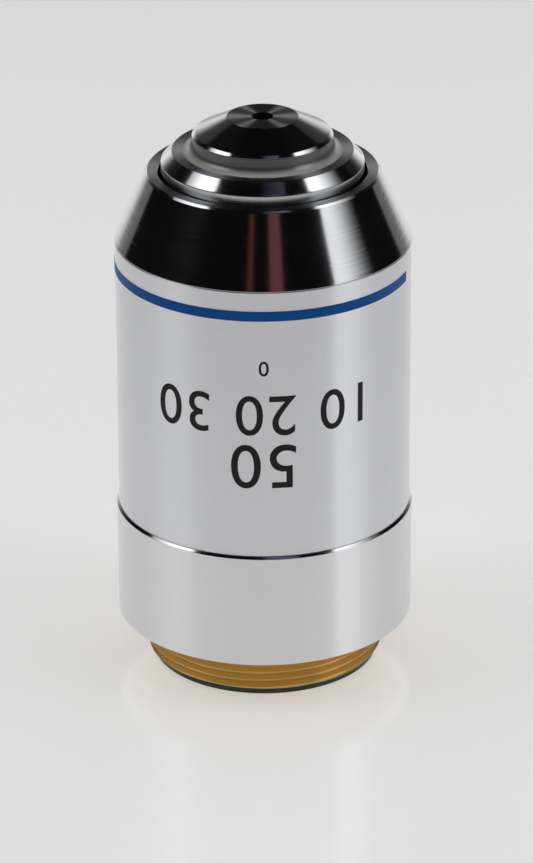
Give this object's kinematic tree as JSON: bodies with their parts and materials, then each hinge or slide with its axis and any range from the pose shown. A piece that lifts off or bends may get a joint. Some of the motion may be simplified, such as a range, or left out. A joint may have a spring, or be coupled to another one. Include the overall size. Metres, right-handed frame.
{
  "type": "microscope objective",
  "caption": "High-power microscope objective with a threaded mount, a satin sleeve with a blue band, a polished cone and a spring-loaded stepped nose.",
  "frame": {"origin": "centre of the foot, which is the rear face of the black ring at the thread end", "axes": "+Z along the optical axis from the thread end to the front lens"},
  "size_m": [0.0254, 0.0254, 0.049],
  "materials": {
    "satin_chrome": "satin",
    "polished_chrome": "polished",
    "brass_thread": "turned",
    "black_ring": "matt black",
    "lens_cells": "blackened",
    "barrel_metal": "turned",
    "optical_glass": "polished and coated",
    "spring_steel": "drawn wire",
    "band_print": "printed"
  },
  "bodies": {
    "mount": {"mounting_body": "brass_thread", "rear_baffle": "black_ring", "base_collar": "satin_chrome", "outer_sleeve": "satin_chrome", "colour_band": "band_print", "nose_shell": "polished_chrome", "stop_ring": "lens_cells", "guide_pin": "spring_steel", "return_spring": "spring_steel"},
    "nose": {"lens_barrel": "barrel_metal", "nose_ring": "satin_chrome", "front_cell": "polished_chrome", "front_lens": "optical_glass", "meniscus_lens": "optical_glass", "singlet_cell": "lens_cells", "singlet_lens": "optical_glass", "doublet_cell": "lens_cells", "doublet_crown": "optical_glass", "doublet_flint": "optical_glass", "triplet_cell": "lens_cells", "triplet_front": "optical_glass", "triplet_middle": "optical_glass", "triplet_rear": "optical_glass", "spacer_ring": "lens_cells", "upper_meniscus_cell": "lens_cells", "upper_meniscus_crown": "optical_glass", "upper_meniscus_flint": "optical_glass", "aperture_stop": "black_ring", "lower_meniscus_cell": "lens_cells", "lower_meniscus_flint": "optical_glass", "lower_meniscus_crown": "optical_glass", "lock_ring": "black_ring"}
  },
  "joints": [
    {"name": "nose_retract", "type": "slide", "parent": "mount", "child": "nose", "axis": [0, 0, -1], "range_m": [0, 0.0025], "stiffness_N_per_m": 86, "springref_m": -0.0142, "deforming": ["return_spring"]}
  ]
}
